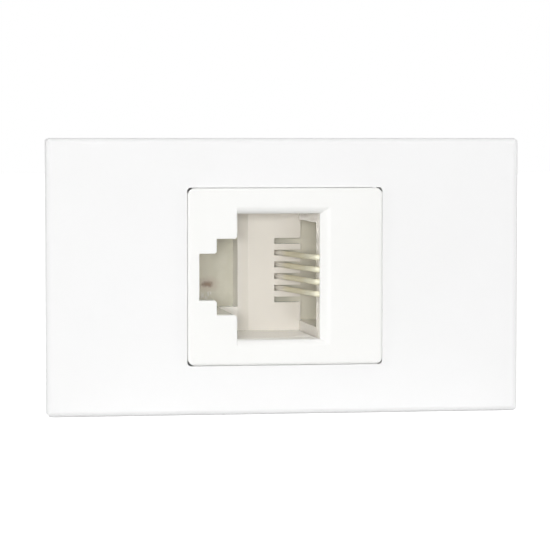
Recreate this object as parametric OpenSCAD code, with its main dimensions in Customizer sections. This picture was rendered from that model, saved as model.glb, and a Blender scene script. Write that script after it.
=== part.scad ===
// One-module telephone wall socket: a front moulding that snaps into a mounting
// frame, and a snap-in jack with its plug opening turned so that the tab is on the left.
// X runs along the module, Z is up, and the front looks along -Y.
// The origin is the centre of the flange's back face, which seats on the frame.
// The profiles below are drawn with y counted from the front of the plate.

/* [Front plate] */
// Length of the front plate
plate_l = 38.9; // [37:0.1:45]
// Height of the front plate, one module
plate_h = 22.5; // [22.5:0.25:26]
// Depth of the flange, from its front to the face that seats on the frame
flange_depth = 3; // [2.6:0.1:3.6]
// Thickness of the front skin inside the body walls
skin_t = 2; // [1.6:0.1:2.2]
// Rounding of the front edges
plate_edge_r = 0.45; // [0.2:0.05:0.8]
// Rounding of the plate's four corners
plate_corner_r = 0.5; // [0.3:0.05:1.2]
// How far each end of the flange slopes in from its front to its back
end_slope = 0.15; // [0:0.05:0.3]

/* [Body behind the plate] */
// Length of the body behind the flange
body_l = 34.5; // [33:0.25:36]
// Height of the body behind the flange
body_h = 21.8; // [21.4:0.1:22.2]
// Wall of the body
body_wall = 1.2; // [1:0.05:1.4]
// Outer corner radius of the body
body_r = 1.6; // [1.5:0.1:2.2]
// How far the body walls reach, from the front of the plate
body_depth = 12.5; // [11.5:0.25:14]
// Thickness of the ribs between the collar and the body
rib_t = 0.9; // [0.7:0.05:1.2]
// Width of the snap tongue in each end wall
tongue_w = 9; // [7:0.25:10]
// Width of the slits that free the tongue
tongue_slit = 0.8; // [0.6:0.05:1.2]
// How far the tongue's hook stands out of the end wall
hook_reach = 0.9; // [0.5:0.05:1]
// Length of the hook along the tongue
hook_l = 3.6; // [3.2:0.1:4.5]
// How much narrower the hook is than its tongue
hook_inset = 2; // [1:0.1:3]
// Thickness of the frame that the hooks close on
frame_t = 2.2; // [2.1:0.05:2.6]

/* [Jack seat] */
// Running gap between the jack's nose and the window, all round
window_gap = 0.03; // [0.02:0.01:0.15]
// Corner radius of the window
window_corner_r = 0.3; // [0.1:0.05:0.5]
// Wall of the collar that receives the jack
collar_wall = 1.15; // [0.9:0.05:1.25]
// How far the collar reaches, from the front of the plate
collar_depth = 9.3; // [9:0.1:9.6]
// Play of the lug and the latch behind their ledges
latch_play = 0.1; // [0.05:0.01:0.25]

/* [Jack nose] */
// Length of the jack's face
jack_l = 16; // [15.9:0.05:16.6]
// Height of the jack's face
jack_h = 14.4; // [14.2:0.05:14.8]
// How far the jack's face stands out of the plate
jack_proud = 0.25; // [0:0.05:0.4]
// Corner radius of the jack's face
jack_corner_r = 0.6; // [0.5:0.05:1.5]
// Rounding of the front edges of the jack
jack_edge_r = 0.25; // [0.1:0.05:0.4]
// How far the fixed lug stands out of the nose
lug_reach = 1.9; // [1.4:0.1:2.2]
// Where the fixed lug ends, from the front of the plate
lug_end = 7.8; // [7:0.1:8.2]
// Width of the fixed lug and of the latch arm
latch_w = 10; // [8:0.25:11]
// How far the latch's shoulder stands out of the nose
latch_reach = 3; // [2.6:0.1:3.2]
// Where the latch's shoulder is, from the front of the plate
latch_end = 7.2; // [6.8:0.1:7.6]
// Thickness of the latch arm
latch_t = 0.9; // [0.7:0.05:1]
// Where the latch's finger tab ends, from the front of the plate
finger_end = 13.2; // [12:0.1:14.5]

/* [Plug opening] */
// Height of the plug opening's main part
plug_h = 10.24; // [9.9:0.02:10.3]
// Left side of the main part, from the jack's middle
plug_left = 4; // [3.9:0.05:4.2]
// Right side of the main part, where the contact floor begins
plug_right = 2.87; // [2.8:0.01:3.1]
// Width of the mouth's round flank on its right side
mouth_side_w = 0.85; // [0.6:0.05:1]
// Width of the mouth's round flanks on its upper and lower side
mouth_end_w = 0.55; // [0.5:0.05:1]
// Depth of the mouth's flanks
mouth_t = 0.4; // [0.3:0.05:0.5]
// Height of the wide step of the tab slot
wide_step_h = 6.2; // [5.9:0.05:6.5]
// How far the wide step reaches to the left
wide_step_left = 5.66; // [5.5:0.02:5.8]
// Height of the narrow step of the tab slot
narrow_step_h = 3.8; // [3.5:0.05:4]
// How far the narrow step reaches to the left
narrow_step_left = 7.08; // [6.9:0.02:7.1]
// Rounding of the corners between the steps
step_r = 0.35; // [0.1:0.05:0.5]
// Thickness of the lip that the plug's tab catches behind
tab_lip = 1.4; // [1:0.05:1.8]
// Depth of the opening, from the front of the plate to the board
cavity_depth = 12.3; // [12:0.1:13.2]

/* [Contacts] */
// Number of contact wires
wire_n = 4; // [2:2:6]
// Distance between the contacts
contact_pitch = 1; // [0.98:0.004:1.03]
// Diameter of a contact wire
wire_d = 0.45; // [0.4:0.01:0.5]
// Bend radius of a contact wire, at its centre line
wire_bend = 0.6; // [0.5:0.02:0.7]
// How far the wire stands over the contact floor, at its centre line
wire_rise = 0.2; // [0.15:0.01:0.3]
// Play between a wire's free end and the closed end of its comb slot
wire_play = 0.03; // [0.02:0.01:0.1]
// How far the free end of a wire enters the comb
wire_entry = 0.7; // [0.4:0.05:1]
// How far the wires reach out of the back of the board
wire_tail = 0.7; // [0.4:0.05:0.9]

/* [Contact carrier] */
// Number of comb slots
slot_n = 6; // [6:2:6]
// Play of a wire across its comb slot
slot_play = 0.03; // [0.02:0.01:0.1]
// Length of a comb slot, from its open end
slot_l = 2.14; // [2:0.02:2.5]
// Thickness of the comb wall
comb_t = 1.2; // [0.9:0.05:1.4]
// Distance from the comb wall to the board
comb_stand = 0.6; // [0.4:0.05:0.8]
// Left edge of the comb wall beside the tab slot, from the jack's middle
comb_left = 2.4; // [2.2:0.05:3]
// How much farther to the left that edge's foot is at the board
comb_slope = 0.18; // [0.1:0.02:0.3]
// How far the comb wall reaches past the right side of the plug opening
comb_past = 0.12; // [0.05:0.01:0.2]
// Width of the foot along that edge, which stands on the board
comb_foot_w = 0.8; // [0.6:0.05:1]
// Width of the bevel along the comb wall's left edge
comb_bevel_w = 0.9; // [0.7:0.05:1.4]
// Depth of that bevel
comb_bevel_t = 0.3; // [0.15:0.05:0.5]
// Height of the window in the contact floor
floor_window_h = 8.6; // [8.2:0.05:8.8]
// Depth of the floor below the contact floor's face
floor_drop = 1.8; // [1.75:0.01:1.9]
// Length of the bar in front of the floor window
bar_l = 1.6; // [1.5:0.05:1.9]
// Height of the carrier over its cheeks
carrier_h = 11.4; // [11:0.05:11.8]
// Gap between the carrier and the housing
fit_gap = 0.05; // [0.03:0.01:0.1]

/* [Board] */
// Length of the board
board_l = 14.4; // [14.2:0.05:14.8]
// Height of the board
board_h = 12.4; // [12:0.05:12.8]
// Thickness of the board
board_t = 1.6; // [1.2:0.1:2]

/* [Terminals] */
// Thickness of the terminal block's base
base_t = 2.5; // [2.2:0.1:3]
// Height of the terminal rows over the base
row_rise = 8.6; // [8:0.1:9.5]
// Length of a terminal row
row_l = 14; // [13:0.1:14.4]
// Thickness of a terminal row
row_t = 4.2; // [3.8:0.05:4.4]
// Distance from the middle to the middle of a terminal row
row_z = 4.7; // [4.6:0.05:4.8]
// Distance from the middle to a wire slot in a row
slot_x = 3.2; // [3:0.05:3.6]
// Width of a wire slot
wire_slot_w = 1.3; // [1.1:0.05:1.6]
// Width of a terminal blade
blade_w = 3.6; // [3.2:0.05:3.8]
// Thickness of a terminal blade
blade_t = 0.4; // [0.3:0.05:0.5]
// Width of the blade's cutting slot
blade_slot = 0.42; // [0.35:0.01:0.5]
// Wall of a wire cap
cap_wall = 0.7; // [0.6:0.05:0.8]
// Thickness of a wire cap's top
cap_top = 1.5; // [1.2:0.1:2]
// How far a cap reaches down over its row
cap_skirt = 4.6; // [4:0.1:5.5]

/* [Hidden] */
$fn = 48;

plate_color = "#F7F7F7";
jack_color = "#F6F6F4";
carrier_color = "#E4DDCF";
wire_color = "#CDBD8C";
board_color = "#A8A27C";
blade_color = "#C9CBCC";
cap_color = "#ECECE8";

// Cutting tools run this far past the faces that they open
over = 1;
// Round corners start this far before they would run into the flat faces
join = 0.03;
// Solids of one piece reach this far into each other where they meet
sink = 0.2;

window_l = jack_l + 2 * window_gap;
window_h = jack_h + 2 * window_gap;
collar_h = window_h + 2 * collar_wall;
inner_l = body_l - 2 * body_wall;
inner_h = body_h - 2 * body_wall;

// The ribs stay this far below the collar's rear edge
rib_step = 1.5;
// Inner faces of the collar's end walls, with room for the lug and for the latch
lug_wall_x = jack_l / 2 + lug_reach + 0.2;
latch_wall_x = jack_l / 2 + latch_reach + 0.4;
// Inner face of the latch's finger tab, and where the ledge behind the latch begins
finger_room = 1.1;
finger_x = jack_l / 2 + finger_room;
ledge_x = finger_x + latch_t + 0.4;

// Depths of the housing's back, of the terminal block's base and of its rows
housing_depth = cavity_depth + board_t;
base_end = housing_depth + base_t;
row_end = base_end + row_rise;

// Fronts of the comb wall and of the carrier's bar
comb_y = cavity_depth - comb_stand - comb_t;
carrier_y = mouth_t - jack_proud + 0.15;
// Grooves and comb slots for the wires: their widths, and the play under a wire
groove_w = wire_d + 0.09;
slot_w = wire_d + slot_play;
groove_gap = 0.02;
// Centre line of the wires: their front run, their run under the floor, their top
wire_front_y = carrier_y + wire_d / 2 + 0.025;
wire_top_x = plug_right - wire_rise;
wire_run_x = plug_right + floor_drop + 0.82 + wire_d / 2;
// The carrier's lower face, and its floor behind the bar
carrier_bottom_x = wire_run_x + wire_d / 2 + 0.05;
floor_top_x = plug_right + floor_drop;
// The free part of a wire: from the knee, where it leaves the bend, to the end of its slot
knee_y = wire_front_y + wire_bend;
knee_swell = 0.02;
wire_end_x = plug_right - slot_l + wire_d / 2 + wire_play;
wire_end_y = comb_y + wire_entry;

// Clips that hold the terminal block on the housing: width, and the window for the ramp
clip_w = 5.6;
clip_t = 1;
clip_window_w = 4.2;
clip_window_end = housing_depth - 0.6;
clip_window_l = 1.9;
clip_play = 0.1;
// The clips end this far in front of the housing's back
clip_reach = 3.4;

// Blades: width of the tails, and how far the tails stay behind the board's front
tail_w = 1;
tail_short = 0.2;
// The blades start this far inside the base, and end this far below the rows' tops
blade_root = 0.5;
blade_short = 1.2;
blade_end = row_end - blade_short;
// Fork of a blade: width of its round bottom over the slot's, and its funnel
fork_round = 1.6;
fork_funnel_l = 1.1;
fork_funnel_w = 0.8;
// Floor of the wire slots, from the block's base
wire_slot_floor = 2.2;

// Outer length, thickness and rounding of a wire cap
cap_l = row_l + 2 * (cap_wall + fit_gap);
cap_t = row_t + 2 * (cap_wall + fit_gap);
cap_r = 0.6;

// Raises the profiles' zero, the front of the plate, to its place before the seat
module placed() {
    translate([0, -flange_depth, 0]) children();
}

// Extrudes an X-Z profile from depth y0 to depth y1
module in_depth(y0, y1) {
    translate([0, y1, 0]) rotate([90, 0, 0]) linear_extrude(y1 - y0) children();
}

// Extrudes an X-Y profile over a height, about the level z
module in_height(h, z = 0) {
    translate([0, 0, z - h / 2]) linear_extrude(h) children();
}

// Extrudes a Y-Z profile over a length, about the place x
module in_length(l, x = 0) {
    translate([x - l / 2, 0, 0]) rotate([90, 0, 90]) linear_extrude(l) children();
}

// Rectangle about the middle, with four round corners
module round_rect(l, h, r) {
    square([l - 2 * r, h], center = true);
    square([l, h - 2 * r], center = true);
    for (sx = [-1, 1], sy = [-1, 1])
        translate([sx * (l / 2 - r), sy * (h / 2 - r)]) circle(r);
}

// Rectangle from y0 to y1, about x = 0, whose two corners at y0 are round
module round_front(w, y0, y1, r) {
    translate([-w / 2, y0 + r]) square([w, y1 - y0 - r]);
    translate([-w / 2 + r, y0]) square([w - 2 * r, y1 - y0]);
    for (s = [-1, 1])
        translate([s * (w / 2 - r), y0 + r]) circle(r);
}

// Block with round corners and round front edges
module soft_block(l, h, y0, y1, corner_r, edge_r) {
    intersection() {
        in_depth(y0, y1) round_rect(l, h, corner_r);
        in_height(h) round_front(l, y0, y1, edge_r);
        in_length(l) mirror([1, -1]) round_front(h, y0, y1, edge_r);
    }
}

// Flange: its ends slope in towards the back, so that neighbours in the frame don't bind
module flange() {
    intersection() {
        soft_block(plate_l, plate_h, 0, flange_depth, plate_corner_r, plate_edge_r);
        in_height(plate_h)
            polygon([
                [-plate_l / 2, 0],
                [plate_l / 2, 0],
                [plate_l / 2, plate_edge_r],
                [plate_l / 2 - end_slope, flange_depth],
                [end_slope - plate_l / 2, flange_depth],
                [-plate_l / 2, plate_edge_r]
            ]);
    }
}

// Area beside a convex corner of material at (0, 0), which takes the corner off in a round
module rounding(r) {
    difference() {
        translate([-over, -over]) square([r + over - join, r + over - join]);
        translate([r - join, r - join]) circle(r);
    }
}

// The same for a shallow arc: w wide on the front face, and t deep at the opening's wall
module flank(w, t) {
    chord = norm([w, t]);
    r = 1.15 * chord * chord / (2 * t);
    away = sqrt(r * r - chord * chord / 4) / chord;
    difference() {
        translate([-over, -over]) square([w + over, t + over]);
        translate([w / 2 + t * away, t / 2 + w * away]) circle(r);
    }
}

// Box given by its near and far corner
module span(x0, x1, y0, y1, z0, z1) {
    translate([x0, y0, z0]) cube([x1 - x0, y1 - y0, z1 - z0]);
}

// Front moulding

module tongue_hook() {
    catch_y = flange_depth + frame_t;
    back_slope = 0.25;
    crest = 0.45;
    root_x = body_l / 2 - body_wall / 2;
    tip_x = body_l / 2 + hook_reach;
    in_height(tongue_w - hook_inset)
        polygon([
            [root_x, catch_y],
            [body_l / 2, catch_y],
            [tip_x, catch_y + back_slope],
            [tip_x, catch_y + back_slope + crest],
            [body_l / 2, catch_y + hook_l],
            [root_x, catch_y + hook_l]
        ]);
}

module tongue_slits() {
    root_web = 0.8;
    for (side = [0, 1])
        mirror([0, 0, side])
            span(
                body_l / 2 - body_wall - sink, body_l / 2 + over,
                flange_depth + root_web, body_depth + over,
                tongue_w / 2, tongue_w / 2 + tongue_slit
            );
}

// Walls round the window, with the ledges that the lug and the latch go behind
module collar() {
    in_depth(skin_t - sink, collar_depth) {
        for (side = [0, 1])
            mirror([0, side]) translate([-lug_wall_x - collar_wall, window_h / 2])
                square([lug_wall_x + latch_wall_x + 2 * collar_wall, collar_wall]);
        translate([-lug_wall_x - collar_wall, -collar_h / 2]) square([collar_wall, collar_h]);
        translate([latch_wall_x, -collar_h / 2]) square([collar_wall, collar_h]);
    }
    in_height(window_h + collar_wall) {
        translate([-lug_wall_x - collar_wall / 2, lug_end + latch_play])
            square([
                lug_wall_x + collar_wall / 2 - window_l / 2,
                collar_depth - lug_end - latch_play
            ]);
        polygon([
            [latch_wall_x + collar_wall / 2, latch_end + latch_play],
            [ledge_x, latch_end + latch_play],
            [ledge_x, collar_depth - 0.8],
            [ledge_x + 0.6, collar_depth],
            [latch_wall_x + collar_wall / 2, collar_depth]
        ]);
    }
}

// Thin ribs that tie the collar to the body walls
module body_ribs() {
    rib_depth = collar_depth - rib_step;
    gusset_gap = 1.2;
    gusset_z = tongue_w / 2 + tongue_slit + gusset_gap;
    for (side = [0, 1])
        mirror([0, 0, side]) {
            for (x = [-jack_l / 3, 0, jack_l / 3])
                span(
                    x - rib_t / 2, x + rib_t / 2, skin_t - sink, rib_depth,
                    window_h / 2 + collar_wall / 2, inner_h / 2 + body_wall / 2
                );
            for (end = [-1, 1])
                gusset(end, gusset_z, rib_depth);
        }
}

// Rib with a sloping edge, from the collar's end wall to the body's end wall
module gusset(end, z, depth) {
    near = end > 0 ? latch_wall_x + collar_wall / 2 : lug_wall_x + collar_wall / 2;
    far = inner_l / 2 + body_wall / 2;
    in_height(rib_t, z)
        polygon([
            [end * near, skin_t - sink],
            [end * far, skin_t - sink],
            [end * far, depth * 0.6],
            [end * near, depth]
        ]);
}

module faceplate() color(plate_color) placed() {
    difference() {
        union() {
            difference() {
                union() {
                    flange();
                    in_depth(skin_t, body_depth) round_rect(body_l, body_h, body_r);
                    for (end = [0, 1])
                        mirror([end, 0, 0]) tongue_hook();
                }
                in_depth(skin_t, body_depth + over)
                    round_rect(inner_l, inner_h, body_r - body_wall);
            }
            collar();
            body_ribs();
        }
        in_depth(-over, skin_t + over) round_rect(window_l, window_h, window_corner_r);
        for (end = [0, 1])
            mirror([end, 0, 0]) tongue_slits();
    }
}

// Jack nose

module fixed_lug() {
    tip_x = jack_l / 2 + lug_reach;
    root_x = jack_l / 2 - sink;
    mirror([1, 0, 0]) in_height(latch_w)
        polygon([
            [root_x, skin_t],
            [tip_x - 0.5, skin_t],
            [tip_x, skin_t + 0.6],
            [tip_x, lug_end - 0.3],
            [tip_x - 0.3, lug_end],
            [root_x, lug_end]
        ]);
}

// Springy arm: root at the nose, shoulder behind the ledge, finger tab to the rear
module latch_arm() {
    root_x = jack_l / 2 - sink;
    shoulder_x = jack_l / 2 + latch_reach;
    shoulder_l = 1.4;
    root_l = 1.5;
    root_r = 0.35;
    tab_x = finger_x + latch_t;
    in_height(latch_w)
        polygon([
            [root_x, skin_t],
            [jack_l / 2 + 0.5, skin_t],
            [shoulder_x, latch_end - shoulder_l],
            [shoulder_x, latch_end],
            [tab_x, latch_end],
            [tab_x + 0.15, finger_end - 0.6],
            [tab_x + 0.6, finger_end],
            [finger_x + 0.2, finger_end],
            [finger_x, latch_end - 0.4],
            [jack_l / 2 + root_r, skin_t + root_l + 0.5],
            [root_x, skin_t + root_l]
        ]);
}

// Ramps that the terminal block's clips close over
module clip_ramp() {
    ramp_l = 1.3;
    ramp_h = 0.55;
    ramp_end = clip_window_end - clip_play;
    in_length(clip_window_w - 2 * clip_play)
        polygon([
            [ramp_end - ramp_l, jack_h / 2 - sink],
            [ramp_end - ramp_l, jack_h / 2 + ramp_h],
            [ramp_end, jack_h / 2],
            [ramp_end, jack_h / 2 - sink]
        ]);
}

// Mouth: two profiles with round flanks crossed, so that it turns its corners with mitres
module mouth() {
    start = -jack_proud - over;
    end = -jack_proud + mouth_t;
    half = plug_h / 2;
    intersection() {
        in_height(plug_h + 2 * mouth_end_w) {
            translate([-plug_left, start]) square([plug_left + plug_right, end - start]);
            translate([plug_right, -jack_proud]) flank(mouth_side_w, mouth_t);
        }
        in_length(4 * plug_left) {
            translate([start, -half]) square([end - start, plug_h]);
            for (side = [0, 1])
                mirror([0, side]) translate([-jack_proud, half]) mirror([1, -1])
                    flank(mouth_end_w, mouth_t);
        }
    }
}

module plug_opening() {
    start = -jack_proud - over;
    end = cavity_depth + over / 2;
    lip_end = -jack_proud + tab_lip;
    in_depth(start, end) {
        translate([-plug_left, -plug_h / 2]) square([plug_left + plug_right + sink, plug_h]);
        translate([-wide_step_left, -wide_step_h / 2]) square([wide_step_left, wide_step_h]);
        step_corners(-plug_left, wide_step_h / 2);
    }
    in_depth(start, lip_end + sink) {
        translate([-narrow_step_left, -narrow_step_h / 2])
            square([narrow_step_left, narrow_step_h]);
        step_corners(-wide_step_left, narrow_step_h / 2);
    }
    span(-narrow_step_left, 0, lip_end, end, -wide_step_h / 2, wide_step_h / 2);
    mouth();
}

// Round corners of material above and below a step of the tab slot
module step_corners(x, z) {
    for (side = [0, 1])
        mirror([0, side]) translate([x, z]) mirror([1, 0]) rounding(step_r);
}

// Room for the contact carrier, open to the rear
module carrier_pocket() {
    span(
        plug_right - fit_gap, carrier_bottom_x + fit_gap,
        carrier_y - fit_gap, cavity_depth + over / 2,
        -carrier_h / 2 - fit_gap, carrier_h / 2 + fit_gap
    );
}

module jack_housing() color(jack_color) placed() {
    difference() {
        union() {
            soft_block(jack_l, jack_h, -jack_proud, housing_depth, jack_corner_r, jack_edge_r);
            fixed_lug();
            latch_arm();
            for (side = [0, 1])
                mirror([0, 0, side]) clip_ramp();
        }
        difference() {
            plug_opening();
            span(
                plug_right, plug_right + over, -jack_proud - over, carrier_y - fit_gap,
                -plug_h, plug_h
            );
        }
        mouth();
        carrier_pocket();
        in_depth(cavity_depth, housing_depth + over)
            round_rect(board_l + 2 * fit_gap, board_h + 2 * fit_gap, 0.3);
    }
}

// Contact carrier

// Section of the carrier along the wires: the bar, the floor, and round front corners
module carrier_section(front, top, bottom, r) {
    translate([top, front]) square([bottom - r - top, bar_l - (front - carrier_y)]);
    translate([top, front + r]) square([bottom - top, bar_l - (front - carrier_y) - r]);
    translate([bottom - r, front + r]) circle(r);
    translate([floor_top_x, front + r])
        square([bottom - floor_top_x, cavity_depth - front - r]);
}

// Section left where a wire lies: round at both of the wire's bends
module groove_section() {
    front = wire_front_y + wire_d / 2 + groove_gap;
    top = wire_top_x + wire_d / 2 + groove_gap;
    r = wire_bend - wire_d / 2 - groove_gap;
    difference() {
        carrier_section(front, top, wire_run_x - wire_d / 2 - groove_gap, r);
        difference() {
            translate([top - over, front - over]) square([r + over, r + over]);
            translate([top + r, front + r]) circle(r);
            translate([top + r, front]) square([over, over]);
        }
    }
}

// Wall with the comb slots; beside the tab slot its foot slants back to the board
module comb_wall() {
    bevel_y = comb_y + comb_bevel_t;
    comb_end_y = comb_y + comb_t;
    comb_right = plug_right + comb_past;
    difference() {
        in_height(plug_h)
            polygon([
                [comb_right, comb_y],
                [comb_bevel_w - comb_left, comb_y],
                [-comb_left, bevel_y],
                [-plug_left, bevel_y],
                [-plug_left, cavity_depth],
                [comb_foot_w - comb_left, cavity_depth],
                [comb_foot_w - comb_left, comb_end_y],
                [comb_right, comb_end_y]
            ]);
        in_height(wide_step_h)
            polygon([
                [-plug_left - over, comb_y - over],
                [-comb_left, comb_y - over],
                [-comb_left, bevel_y],
                [-comb_left - comb_slope, cavity_depth],
                [-comb_left - comb_slope, cavity_depth + over],
                [-plug_left - over, cavity_depth + over]
            ]);
        for (i = [0 : slot_n - 1])
            span(
                plug_right - slot_l, comb_right + over, comb_y - over, comb_end_y + over,
                contact_z(i, slot_n) - slot_w / 2, contact_z(i, slot_n) + slot_w / 2
            );
    }
}

// Cheeks beside the floor window, with the posts that carry the comb wall
module cheeks() {
    post_l = 2;
    post_reach = 1.2;
    cheek_h = (carrier_h - floor_window_h) / 2;
    for (s = [-1, 1]) {
        in_height(cheek_h, s * (carrier_h - cheek_h) / 2)
            round_cheek();
        post_h = (plug_h - floor_window_h) / 2;
        in_height(post_h, s * (floor_window_h + post_h) / 2)
            translate([plug_right - post_reach, comb_y])
                square([post_l, cavity_depth - comb_y]);
    }
}

module round_cheek() {
    r = wire_bend + wire_d / 2;
    translate([plug_right, carrier_y])
        square([carrier_bottom_x - plug_right - r, cavity_depth - carrier_y]);
    translate([plug_right, carrier_y + r])
        square([carrier_bottom_x - plug_right, cavity_depth - carrier_y - r]);
    translate([carrier_bottom_x - r, carrier_y + r]) circle(r);
}

module contact_carrier() color(carrier_color) placed() {
    difference() {
        in_height(floor_window_h + sink)
            carrier_section(carrier_y, plug_right, carrier_bottom_x, wire_bend + wire_d / 2);
        for (i = [0 : wire_n - 1])
            in_height(groove_w, contact_z(i, wire_n))
                difference() {
                    translate([plug_right - over, carrier_y - over])
                        square([carrier_bottom_x + 2 * over - plug_right, cavity_depth + 2 * over]);
                    groove_section();
                }
    }
    cheeks();
    comb_wall();
}

// Contacts

// Level of contact i of n, counted from the top
function contact_z(i, n) = ((n - 1) / 2 - i) * contact_pitch;

// Round bar from point a to point b in the X-Y plane
module bar(a, b, d) {
    v = b - a;
    translate([a[0], a[1], 0]) rotate([0, 0, atan2(v[1], v[0])]) rotate([0, 90, 0])
        cylinder(h = norm(v), d = d);
}

// Round bend about centre c, from direction a0, over a turn in degrees
module bend(c, r, a0, turn, d) {
    translate([c[0], c[1], 0]) rotate([0, 0, a0]) rotate_extrude(angle = turn)
        translate([r, 0]) circle(d = d);
}

// Wire: through the board, under the floor, round the bar, and back up to the comb
module contact_wire() {
    low = [wire_run_x - wire_bend, knee_y];
    high = [wire_top_x + wire_bend, knee_y];
    knee = [wire_top_x, knee_y];
    bar([wire_run_x, housing_depth + wire_tail], [wire_run_x, knee_y], wire_d);
    bend(low, wire_bend, -90, 90, wire_d);
    bar([low[0], wire_front_y], [high[0], wire_front_y], wire_d);
    bend(high, wire_bend, 180, 90, wire_d);
    translate([knee[0], knee[1], 0]) sphere(d = wire_d + knee_swell);
    bar(knee, [wire_end_x, wire_end_y], wire_d);
}

module contact_wire_in(i) color(wire_color) placed()
    translate([0, 0, contact_z(i, wire_n)]) contact_wire();

// Board

module circuit_board() color(board_color) placed() {
    in_depth(cavity_depth, housing_depth)
        difference() {
            round_rect(board_l, board_h, 0.3);
            for (i = [0 : wire_n - 1])
                translate([wire_run_x, contact_z(i, wire_n)]) circle(d = wire_d + 0.14);
            for (sx = [-1, 1], sz = [-1, 1])
                translate([sx * slot_x, sz * row_z])
                    square([tail_w + 2 * fit_gap, blade_t + 2 * fit_gap], center = true);
        }
}

// Terminals

// One row: a block cut by its wire slots, with a pocket for each blade
module terminal_row() {
    end_bevel_l = 0.8;
    end_bevel_w = 0.4;
    difference() {
        in_height(row_t, row_z)
            polygon([
                [-row_l / 2, base_end - sink],
                [-row_l / 2, row_end - end_bevel_l],
                [-row_l / 2 + end_bevel_w, row_end],
                [row_l / 2 - end_bevel_w, row_end],
                [row_l / 2, row_end - end_bevel_l],
                [row_l / 2, base_end - sink]
            ]);
        for (s = [-1, 1])
            in_height(row_t + 2 * over, row_z)
                translate([s * slot_x, 0]) wire_slot();
    }
}

// Slot for one wire, with a funnel at its open end
module wire_slot() {
    funnel_l = 0.9;
    funnel_w = 0.5;
    half = wire_slot_w / 2;
    polygon([
        [-half, base_end + wire_slot_floor],
        [half, base_end + wire_slot_floor],
        [half, row_end - funnel_l],
        [half + funnel_w, row_end + sink],
        [-half - funnel_w, row_end + sink],
        [-half, row_end - funnel_l]
    ]);
}

// Pockets for the blades and, through the base, for their tails
module blade_room() {
    for (sx = [-1, 1], sz = [-1, 1])
        in_height(blade_t + 2 * fit_gap, sz * row_z)
            translate([sx * slot_x, 0]) {
                translate([-blade_w / 2 - fit_gap, base_end - blade_root])
                    square([blade_w + 2 * fit_gap, row_end - base_end + over]);
                translate([-tail_w / 2 - fit_gap, housing_depth - over])
                    square([tail_w + 2 * fit_gap, base_t + over]);
            }
}

module block_clip() {
    tip_y = housing_depth - clip_reach;
    tip_bevel = 0.4;
    shoulder_l = 1.6;
    inner_z = jack_h / 2 + fit_gap;
    outer_z = jack_h / 2 + clip_t;
    base_z = jack_h / 2 - sink;
    in_length(clip_w)
        polygon([
            [tip_y, inner_z],
            [tip_y, outer_z - tip_bevel],
            [tip_y + tip_bevel, outer_z],
            [housing_depth + shoulder_l, outer_z],
            [base_end - sink, base_z],
            [housing_depth + fit_gap, base_z],
            [housing_depth + fit_gap, inner_z]
        ]);
}

module terminal_block() color(jack_color) placed() {
    tail_room = 0.8;
    difference() {
        union() {
            in_depth(housing_depth, base_end) round_rect(jack_l, jack_h, jack_corner_r);
            for (side = [0, 1])
                mirror([0, 0, side]) {
                    terminal_row();
                    block_clip();
                }
        }
        blade_room();
        span(
            wire_run_x - tail_room, wire_run_x + tail_room,
            housing_depth - over, housing_depth + wire_tail + 0.4,
            -contact_pitch * wire_n / 2, contact_pitch * wire_n / 2
        );
        for (side = [0, 1])
            mirror([0, 0, side])
                span(
                    -clip_window_w / 2, clip_window_w / 2,
                    clip_window_end - clip_window_l, clip_window_end,
                    jack_h / 2, jack_h / 2 + clip_t + over
                );
    }
}

// Blade: a tail through the base and the board, and a fork that cuts into a wire
module terminal_blade(sx, sz) color(blade_color) placed() {
    fork_bottom = base_end + wire_slot_floor + 0.4;
    in_height(blade_t, sz * row_z)
        translate([sx * slot_x, 0])
            difference() {
                union() {
                    translate([-tail_w / 2, cavity_depth + tail_short])
                        square([tail_w, base_end - cavity_depth - tail_short]);
                    translate([-blade_w / 2, base_end - blade_root])
                        square([blade_w, blade_end - base_end + blade_root]);
                }
                translate([-blade_slot / 2, fork_bottom])
                    square([blade_slot, row_end - fork_bottom]);
                translate([0, fork_bottom]) circle(d = fork_round * blade_slot);
                polygon([
                    [0, blade_end - fork_funnel_l],
                    [fork_funnel_w, blade_end + sink],
                    [-fork_funnel_w, blade_end + sink]
                ]);
            }
}

// Wire caps

module wire_cap(side) color(cap_color) placed() mirror([0, 0, side]) {
    cap_start = row_end - cap_skirt;
    cap_end = row_end + fit_gap + cap_top;
    notch_l = 1.6;
    rib_pitch = 1.6;
    rib_groove_d = 0.9;
    rib_groove_rise = 0.25;
    difference() {
        intersection() {
            in_height(cap_t, row_z)
                mirror([0, 1]) translate([0, -cap_end])
                    round_front(cap_l, 0, cap_end - cap_start, cap_r);
            in_depth(cap_start, cap_end)
                translate([0, row_z]) round_rect(cap_l, cap_t, cap_r);
        }
        in_height(row_t + 2 * fit_gap, row_z)
            translate([-row_l / 2 - fit_gap, cap_start - over])
                square([row_l + 2 * fit_gap, row_end + fit_gap - cap_start + over]);
        for (s = [-1, 1])
            in_height(cap_t + 2 * over, row_z)
                translate([s * slot_x, cap_start]) {
                    translate([-wire_slot_w / 2, -over]) square([wire_slot_w, over + notch_l]);
                    translate([0, notch_l]) circle(d = wire_slot_w);
                }
        for (i = [-2 : 2])
            in_height(cap_t + 2 * over, row_z)
                translate([i * rib_pitch, cap_end + rib_groove_rise]) circle(d = rib_groove_d);
    }
    stuffers();
}

// Pegs in a cap that press the wires down on both sides of each blade
module stuffers() {
    peg_l = 2.2;
    side_play = 0.1;
    blade_play = 0.3;
    for (s = [-1, 1], t = [-1, 1])
        in_height((row_t - blade_t) / 2 - 2 * blade_play, row_z + t * (row_t + blade_t) / 4)
            translate([s * slot_x - wire_slot_w / 2 + side_play, row_end - peg_l])
                square([wire_slot_w - 2 * side_play, peg_l + sink]);
}

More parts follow.
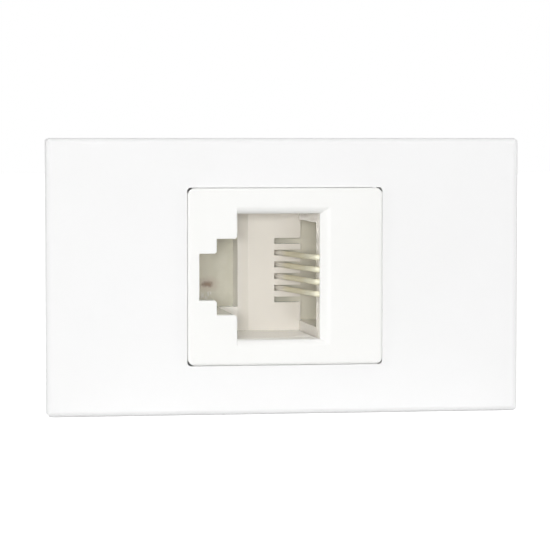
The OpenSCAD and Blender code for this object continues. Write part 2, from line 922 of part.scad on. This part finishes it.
faceplate();
jack_housing();
contact_carrier();
contact_wire_in(0);  // contact_wire_1
contact_wire_in(1);  // contact_wire_2
contact_wire_in(2);  // contact_wire_3
contact_wire_in(3);  // contact_wire_4
circuit_board();
terminal_block();
terminal_blade(-1, 1);  // terminal_blade_1
terminal_blade(1, 1);  // terminal_blade_2
terminal_blade(-1, -1);  // terminal_blade_3
terminal_blade(1, -1);  // terminal_blade_4
wire_cap(0);  // wire_cap_upper
wire_cap(1);  // wire_cap_lower
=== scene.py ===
import math

import bpy
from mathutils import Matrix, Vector


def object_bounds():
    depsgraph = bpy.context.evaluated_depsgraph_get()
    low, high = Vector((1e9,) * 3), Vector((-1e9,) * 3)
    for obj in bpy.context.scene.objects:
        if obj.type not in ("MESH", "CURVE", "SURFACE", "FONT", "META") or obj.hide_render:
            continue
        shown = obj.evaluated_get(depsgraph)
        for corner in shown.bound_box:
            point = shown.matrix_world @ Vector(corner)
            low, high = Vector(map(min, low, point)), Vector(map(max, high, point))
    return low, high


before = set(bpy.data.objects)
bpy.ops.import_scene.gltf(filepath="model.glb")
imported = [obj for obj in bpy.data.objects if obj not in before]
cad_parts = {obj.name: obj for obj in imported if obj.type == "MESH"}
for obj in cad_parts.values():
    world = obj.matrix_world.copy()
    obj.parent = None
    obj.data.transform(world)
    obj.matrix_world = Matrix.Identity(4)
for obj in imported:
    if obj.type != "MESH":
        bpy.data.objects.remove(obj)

cad_low, cad_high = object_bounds()

MM = 0.001
PHOTO_WIDTH = 550

# Depths from the flange's seat, in millimetres: where the mouth ends, the fronts of the
# board, of the comb wall and of the wires
MOUTH_END = -2.85
BOARD_FRONT = 9.3
COMB_FRONT = 7.5
WIRE_FRONT = -2.7


class Field:
    """A value that varies over a surface: one socket, on which arithmetic adds Math nodes."""

    def __init__(self, finish, socket):
        self.finish = finish
        self.socket = socket

    def _math(self, operation, *values, clamp=False):
        settings = {"operation": operation, "use_clamp": clamp}
        return self.finish.node("ShaderNodeMath", settings, dict(enumerate(values)))

    def __add__(self, other):
        return self._math("ADD", self, other)

    def __sub__(self, other):
        return self._math("SUBTRACT", self, other)

    def __rsub__(self, other):
        return self._math("SUBTRACT", other, self)

    def __mul__(self, other):
        return self._math("MULTIPLY", self, other)

    def __truediv__(self, other):
        return self._math("DIVIDE", self, other)

    __radd__ = __add__
    __rmul__ = __mul__

    def squared(self):
        return self * self

    def root(self):
        return self._math("SQRT", self)

    def least(self, other):
        return self._math("MINIMUM", self, other)

    def most(self, other):
        return self._math("MAXIMUM", self, other)

    def size(self):
        return self._math("ABSOLUTE", self)

    def between(self, low, high):
        """0 up to low, 1 from high on, smooth between them."""
        inputs = {"Value": self, "From Min": low, "From Max": high}
        return self.finish.node(
            "ShaderNodeMapRange", {"interpolation_type": "SMOOTHSTEP"}, inputs
        )


class Finish:
    """One procedural material, with a Principled shader at its end."""

    def __init__(self, name):
        self.material = bpy.data.materials.new(name)
        self.material.use_nodes = True
        self.tree = self.material.node_tree
        self.shader = self.tree.nodes["Principled BSDF"]

    def node(self, kind, settings, inputs, output=0):
        made = self.tree.nodes.new(kind)
        for key, value in settings.items():
            setattr(made, key, value)
        for key, value in inputs.items():
            self.feed(made.inputs[key], value)
        return Field(self, made.outputs[output])

    def feed(self, socket, value):
        if isinstance(value, Field):
            self.tree.links.new(value.socket, socket)
        else:
            socket.default_value = value

    def place(self):
        return self.node("ShaderNodeTexCoord", {}, {}, "Object")

    def axes(self):
        """X, Y and Z over the piece, in millimetres."""
        made = self.tree.nodes.new("ShaderNodeSeparateXYZ")
        self.feed(made.inputs[0], self.stretched(1 / MM, 1 / MM, 1 / MM))
        return [Field(self, output) for output in made.outputs]

    def stretched(self, x, y, z):
        return self.node("ShaderNodeMapping", {}, {"Vector": self.place(), "Scale": (x, y, z)})

    def noise(self, per_mm, detail=2.0, rough=0.5, along=(1, 1, 1)):
        """Noise with about that many features in a millimetre."""
        where = self.stretched(*(per_mm * a / MM for a in along))
        inputs = {"Vector": where, "Scale": 1.0, "Detail": detail, "Roughness": rough}
        return self.node("ShaderNodeTexNoise", {}, inputs)

    def blend(self, factor, low, high):
        """Colour low where factor is 0 and high where it is 1."""
        return self.node(
            "ShaderNodeMix",
            {"data_type": "RGBA"},
            {0: factor, 6: low, 7: high},
            2,
        )

    def bump(self, height, depth_mm, under=None):
        inputs = {"Height": height, "Distance": depth_mm * MM, "Strength": 1.0}
        if under is not None:
            inputs["Normal"] = under
        return self.node("ShaderNodeBump", {}, inputs)

    def soft_edges(self, radius_mm):
        return self.node("ShaderNodeBevel", {"samples": 6}, {"Radius": radius_mm * MM})

    def done(self, **inputs):
        for key, value in inputs.items():
            self.feed(self.shader.inputs[key.replace("_", " ")], value)
        return self.material


def tint(red, green, blue):
    return (red, green, blue, 1.0)


# Pale colour for the walls behind the comb: painted light in the deepest, shaded part of the plug
# opening.
DEEP_PAINTED_LIGHT = tint(0.97, 0.95, 0.90)


def moulded(name, colour, shade, roughness, edge_mm, grain_mm=0.004, inner=None, polish=0.0):
    """Injection-moulded plastic: slow tone drift, fine spark grain and soft edges; the walls
    of the plug opening take the colour inner and a pale colour behind the comb, painted light
    where they are paler than the outside, and are smoother by polish."""
    finish = Finish(name)
    drift = finish.noise(0.12, detail=3.0).between(0.3, 0.7)
    grain = finish.noise(7.0, detail=3.0, rough=0.6)
    flow = finish.noise(0.5, detail=2.0, along=(0.35, 1, 1))
    rough = roughness + (grain - 0.5) * 0.10 + (flow - 0.5) * 0.08
    base = finish.blend(drift, tint(*colour), tint(*shade))
    if inner:
        x, y, z = finish.axes()
        deep = y.between(MOUTH_END, MOUTH_END + 0.8) * (1 - y.between(BOARD_FRONT, BOARD_FRONT + 0.1))
        inside = deep * (1 - x.size().between(7.3, 7.5)) * (1 - z.size().between(5.3, 5.5))
        # Painted light: the walls inside the plug opening take the colour inner, and the pale colour
        # behind the comb.
        painted_inner_light = finish.blend(y.between(COMB_FRONT + 0.1, COMB_FRONT + 0.5), tint(*inner), DEEP_PAINTED_LIGHT)
        base = finish.blend(inside, base, painted_inner_light)
        rough = rough - inside * polish
    return finish.done(
        Base_Color=base,
        Roughness=rough,
        Normal=finish.bump(grain, grain_mm, finish.soft_edges(edge_mm)),
        IOR=1.49,
    )


def gold_plating():
    """Contact wire: pale gold in front, where a plug touches it, darker towards the comb as painted
    shade, and light at its free end as a painted sheen, with fine drawing lines along it."""
    finish = Finish("gold_plated_wire")
    x, y, z = finish.axes()
    lines = finish.noise(12.0, detail=2.0, along=(1, 0.05, 1))
    dull = finish.noise(1.2, detail=2.0).between(0.4, 0.7)
    # Painted shade: the wire is painted darker further in, towards the comb.
    inner = y.between(WIRE_FRONT + 2.0, WIRE_FRONT + 4.4)
    # Painted sheen: the wire is painted lighter at its free end.
    sheen_tip = y.between(COMB_FRONT - 3.0, COMB_FRONT - 0.9)
    front_gold = finish.blend(dull * 0.5, tint(0.97, 0.94, 0.76), tint(0.94, 0.90, 0.69))
    shaded_gold = finish.blend(inner, front_gold, tint(0.94, 0.88, 0.66))
    return finish.done(
        Base_Color=finish.blend(sheen_tip, shaded_gold, tint(0.97, 0.92, 0.84)),
        Metallic=0.12,
        Roughness=0.40 + dull * 0.08 + (lines - 0.5) * 0.10,
        Normal=finish.bump(lines, 0.001),
    )


def tin_plating():
    finish = Finish("tin_plated_bronze")
    roll = finish.noise(9.0, detail=2.0, along=(1, 0.06, 1))
    cloud = finish.noise(0.9, detail=3.0).between(0.35, 0.7)
    return finish.done(
        Base_Color=finish.blend(cloud, tint(0.74, 0.73, 0.71), tint(0.62, 0.61, 0.59)),
        Metallic=1.0,
        Roughness=0.34 + cloud * 0.12 + (roll - 0.5) * 0.1,
        Normal=finish.bump(roll, 0.002),
    )


# The dark spot on the board, to the left of the middle, and the brown stain round it
SPOT = (-4.76, -1.24)
SPOT_REACH = 0.46
STAIN_REACH = 1.0


def bare_board():
    """Olive laminate: a fine weave, one dark spot in a brown stain, light streaks, and painted light
    that makes it paler towards its left and right ends.
    """
    finish = Finish("olive_board")
    x, y, z = finish.axes()
    mottle = finish.noise(1.2, detail=3.0).between(0.3, 0.7)
    weave = finish.noise(5.0, detail=1.0, along=(1, 1, 0.15)) + finish.noise(
        5.0, detail=1.0, along=(0.15, 1, 1)
    )
    base = finish.blend(mottle, tint(0.70, 0.675, 0.565), tint(0.665, 0.64, 0.525))
    # Painted light: the board is paler towards its left and right ends, where it lies in shade.
    painted_light_ends = (1 - x.between(-5.3, -3.9)) + x.between(1.8, 3.2)
    base = finish.blend(painted_light_ends, base, tint(0.84, 0.805, 0.68))
    ragged = (finish.noise(2.6, detail=3.0) - 0.5) * 0.55
    across = (x - SPOT[0]).squared() * 0.55
    upright = (z - SPOT[1]).squared() * 1.4
    away = (across + upright).root() + ragged
    stain = 1 - away.between(0.2, STAIN_REACH)
    spot = 1 - away.between(SPOT_REACH * 0.3, SPOT_REACH)
    stained = finish.blend(stain * 0.40, base, tint(0.50, 0.36, 0.31))
    spotted = finish.blend(spot * 0.75, stained, tint(0.29, 0.18, 0.115))
    # Light streaks below and beside the spot.
    streaks = finish.noise(6.0, detail=1.0, along=(1, 1, 0.25)).between(0.52, 0.60)
    beside = 1 - (x - SPOT[0] + 0.05).size().between(0.4, 0.7)
    below = 1 - (z - SPOT[1] + 0.95).size().between(0.2, 0.4)
    marked = finish.blend(streaks * beside * below * 0.7, spotted, tint(0.96, 0.94, 0.90))
    return finish.done(
        Base_Color=marked,
        Roughness=0.5 + (weave - 1.0) * 0.12,
        Normal=finish.bump(weave, 0.006),
    )


def dress(node, material):
    node_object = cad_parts[node]
    node_object.data.materials.clear()
    node_object.data.materials.append(material)


WHITE = (0.90, 0.90, 0.90)
WHITE_SHADE = (0.89, 0.89, 0.888)
JACK_WHITE = (0.91, 0.91, 0.893)
JACK_SHADE = (0.90, 0.90, 0.88)
CREAM = (0.92, 0.875, 0.80)
CREAM_SHADE = (0.90, 0.855, 0.775)
CAP_WHITE = (0.86, 0.86, 0.84)
CAP_SHADE = (0.83, 0.83, 0.81)

plate_white = moulded("plate_white_plastic", WHITE, WHITE_SHADE, 0.50, 0.12)
# The jack's inner colour is paler than its outside: painted light inside the plug opening.
jack_white = moulded(
    "jack_white_plastic", JACK_WHITE, JACK_SHADE, 0.45, 0.10, inner=(0.96, 0.955, 0.925), polish=0.28
)
block_white = moulded("block_white_plastic", JACK_WHITE, JACK_SHADE, 0.45, 0.08)
# The carrier keeps its own colour in the opening but is painted pale behind the comb: painted light.
cream = moulded(
    "carrier_cream_plastic", CREAM, CREAM_SHADE, 0.5, 0.05, 0.003, inner=CREAM, polish=0.32
)
cap_white = moulded("cap_white_plastic", CAP_WHITE, CAP_SHADE, 0.50, 0.10)
gold = gold_plating()
tin = tin_plating()

dress("faceplate", plate_white)
dress("jack_housing", jack_white)
dress("terminal_block", block_white)
dress("contact_carrier", cream)
dress("circuit_board", bare_board())
dress("wire_cap_upper", cap_white)
dress("wire_cap_lower", cap_white)
for number in range(1, 5):
    dress(f"contact_wire_{number}", gold)
    dress(f"terminal_blade_{number}", tin)


# Camera: worked out from the plate's corners, the jack's face and the plug opening
CAMERA_YAW = 8.89
CAMERA_RISE = 2.88
CAMERA_AWAY = 220.0
CAMERA_AIM = (-0.853, -3.0, 0.126)
FOCUS_PIXELS = 2705
SENSOR = 36.0


def photo_camera():
    yaw, rise = math.radians(CAMERA_YAW), math.radians(CAMERA_RISE)
    back = Vector((-math.sin(yaw) * math.cos(rise), -math.cos(yaw) * math.cos(rise), math.sin(rise)))
    data = bpy.data.cameras.new("camera")
    data.sensor_width = SENSOR
    data.lens = SENSOR * FOCUS_PIXELS / PHOTO_WIDTH
    data.clip_start = 0.01
    data.clip_end = 10.0
    camera = bpy.data.objects.new("camera", data)
    camera.rotation_mode = "QUATERNION"
    camera.location = (Vector(CAMERA_AIM) + back * CAMERA_AWAY) * MM
    camera.rotation_quaternion = (-back).to_track_quat("-Z", "Y")
    bpy.context.scene.collection.objects.link(camera)
    bpy.context.scene.camera = camera


def softbox(name, towards, away, width, height, share):
    """A soft lamp that lights a face turned to it at that share of the plain level."""
    data = bpy.data.lights.new(name, "AREA")
    data.shape = "RECTANGLE"
    data.size = width
    data.size_y = height
    data.energy = share * math.pi**2 * away**2
    lamp = bpy.data.objects.new(name, data)
    direction = Vector(towards).normalized()
    lamp.location = direction * away
    lamp.rotation_mode = "QUATERNION"
    lamp.rotation_quaternion = (-direction).to_track_quat("-Z", "Y")
    bpy.context.scene.collection.objects.link(lamp)


AMBIENT = 0.195


def studio_air():
    """Even light from all round; what looks into it directly sees plain white."""
    world = bpy.data.worlds.new("studio")
    bpy.context.scene.world = world
    world.use_nodes = True
    tree = world.node_tree
    shader = tree.nodes["Background"]
    shader.inputs["Color"].default_value = (1, 1, 1, 1)
    path = tree.nodes.new("ShaderNodeLightPath")
    seen = None
    for ray in ("Is Camera Ray", "Is Glossy Ray", "Is Transmission Ray"):
        if seen is None:
            seen = path.outputs[ray]
            continue
        most = tree.nodes.new("ShaderNodeMath")
        most.operation = "MAXIMUM"
        tree.links.new(seen, most.inputs[0])
        tree.links.new(path.outputs[ray], most.inputs[1])
        seen = most.outputs[0]
    level = tree.nodes.new("ShaderNodeMapRange")
    level.inputs["To Min"].default_value = AMBIENT
    level.inputs["To Max"].default_value = 1.0
    tree.links.new(seen, level.inputs["Value"])
    tree.links.new(level.outputs[0], shader.inputs["Strength"])


FLOOR_REACH = 1.5
FLOOR_GLOW = 0.90


def pale_floor():
    """A white floor just under the plate, which keeps the socket's shadow."""
    mesh = bpy.data.meshes.new("floor")
    level = cad_low[2] - 0.05 * MM
    corners = [(-1, -1), (1, -1), (1, 1), (-1, 1)]
    points = [(x * FLOOR_REACH, y * FLOOR_REACH, level) for x, y in corners]
    mesh.from_pydata(points, [], [(0, 1, 2, 3)])
    floor = bpy.data.objects.new("floor", mesh)
    bpy.context.scene.collection.objects.link(floor)
    finish = Finish("white_floor")
    path = finish.tree.nodes.new("ShaderNodeLightPath")
    seen = Field(finish, path.outputs["Is Camera Ray"]).most(
        Field(finish, path.outputs["Is Glossy Ray"])
    )
    glow = seen.most(Field(finish, path.outputs["Is Transmission Ray"]))
    finish.shader.inputs["Emission Strength"].default_value = FLOOR_GLOW
    mesh.materials.append(
        finish.done(
            Base_Color=tint(0.65, 0.65, 0.65),
            Roughness=0.9,
            Emission_Color=finish.blend(glow, tint(0, 0, 0), tint(1, 1, 1)),
        )
    )


photo_camera()
studio_air()
pale_floor()
softbox("camera_softbox", (-0.152, -0.987, 0.05), 1.0, 0.25, 0.10, 0.44)
softbox("left_softbox", (-0.96, -0.28, 0.1), 1.0, 0.3, 0.3, 0.27)
softbox("right_softbox", (0.96, -0.28, 0.1), 1.0, 0.3, 0.3, 0.265)
softbox("low_softbox", (-0.1, -0.89, 0.42), 1.0, 0.3, 0.3, 0.05)
softbox("upper_softbox", (-0.1, -0.70, 0.70), 1.0, 0.3, 0.3, 0.055)
softbox("top_softbox", (-0.05, -0.3, 0.95), 1.0, 0.3, 0.3, 0.165)

view = bpy.context.scene.view_settings
view.view_transform = "Standard"
